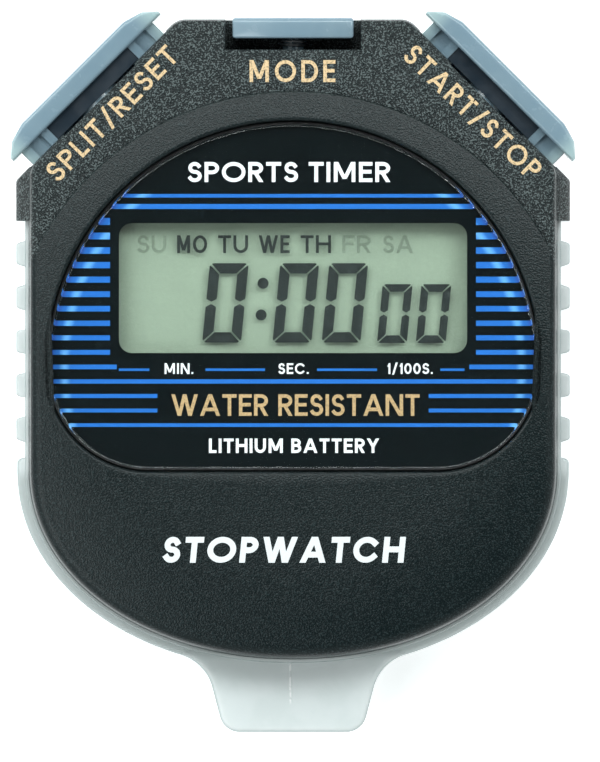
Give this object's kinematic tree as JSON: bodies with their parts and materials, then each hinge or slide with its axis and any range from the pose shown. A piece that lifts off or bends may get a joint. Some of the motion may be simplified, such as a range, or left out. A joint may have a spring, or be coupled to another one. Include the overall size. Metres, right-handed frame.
{
  "type": "digital stopwatch",
  "caption": "Hand-held electronic stopwatch: domed black front with a clear lens over a liquid-crystal display, sprung push buttons, and a milky rear shell with grip ribs and a lanyard lug.",
  "frame": {"origin": "middle of the overall box, on the flat back that the stopwatch lies on", "axes": "+Z out of the display, +Y from the lanyard lug to the mode button, +X towards the start/stop button"},
  "size_m": [0.0634, 0.0809, 0.0196],
  "materials": {
    "black_case": "fine grained",
    "milky_case": "translucent, satin",
    "grey_button": "translucent",
    "lens": "polished",
    "dial_print": "printed",
    "display_glass": "satin",
    "reflector": "satin",
    "contact_rubber": "matte",
    "white_plastic": "satin",
    "rubber": "matte",
    "board": "solder mask",
    "epoxy": "glossy",
    "steel": "nickel plated",
    "brass": "satin",
    "ceramic": "matte"
  },
  "bodies": {
    "case": {"front_shell": "black_case", "rear_shell": "milky_case", "case_gasket": "rubber", "lens": "lens", "lens_gasket": "rubber", "dial_plate": "dial_print", "lcd_front_glass": "display_glass", "lcd_rear_glass": "display_glass", "lcd_reflector": "reflector", "zebra_strip_lower": "contact_rubber", "zebra_strip_upper": "contact_rubber", "lcd_holder": "white_plastic", "circuit_board": "board", "chip_blob": "epoxy", "quartz_crystal": "steel", "capacitor_left": "ceramic", "capacitor_right": "ceramic", "trimmer_capacitor": "ceramic", "piezo_plate": "brass", "piezo_ceramic": "ceramic", "buzzer_spring_centre": "steel", "buzzer_spring_rim": "steel", "coin_cell": "steel", "battery_holder": "white_plastic", "battery_contact_positive": "steel", "battery_contact_negative": "steel", "board_screw_upper_left": "steel", "case_screw_upper_left": "steel", "board_screw_upper_right": "steel", "case_screw_upper_right": "steel", "board_screw_lower_left": "steel", "case_screw_lower_left": "steel", "board_screw_lower_right": "steel", "case_screw_lower_right": "steel", "split_reset_spring": "steel", "split_reset_seal": "rubber", "split_reset_switch": "brass", "start_stop_spring": "steel", "start_stop_seal": "rubber", "start_stop_switch": "brass", "mode_spring": "steel", "mode_seal": "rubber", "mode_switch": "brass"},
    "split_reset": {"split_reset_button": "grey_button", "split_reset_clip": "steel"},
    "start_stop": {"start_stop_button": "grey_button", "start_stop_clip": "steel"},
    "mode": {"mode_button": "grey_button", "mode_clip": "steel"},
    "hatch": {"battery_hatch": "milky_case", "hatch_gasket": "rubber", "battery_pad": "rubber"}
  },
  "joints": [
    {"name": "split_reset_press", "type": "slide", "parent": "case", "child": "split_reset", "axis": [0.7071, -0.7071, 0], "range_m": [0, 0.001], "stiffness_N_per_m": 600, "springref_m": -0.001, "deforming": ["split_reset_spring"]},
    {"name": "start_stop_press", "type": "slide", "parent": "case", "child": "start_stop", "axis": [-0.7071, -0.7071, 0], "range_m": [0, 0.001], "stiffness_N_per_m": 600, "springref_m": -0.001, "deforming": ["start_stop_spring"]},
    {"name": "mode_press", "type": "slide", "parent": "case", "child": "mode", "axis": [0, -1, 0], "range_m": [0, 0.001], "stiffness_N_per_m": 600, "springref_m": -0.001, "deforming": ["mode_spring"]},
    {"name": "hatch_turn", "type": "hinge", "parent": "case", "child": "hatch", "pos_m": [0, -0.0135, 0], "axis": [0, 0, 1], "range_deg": [0, 40]}
  ]
}
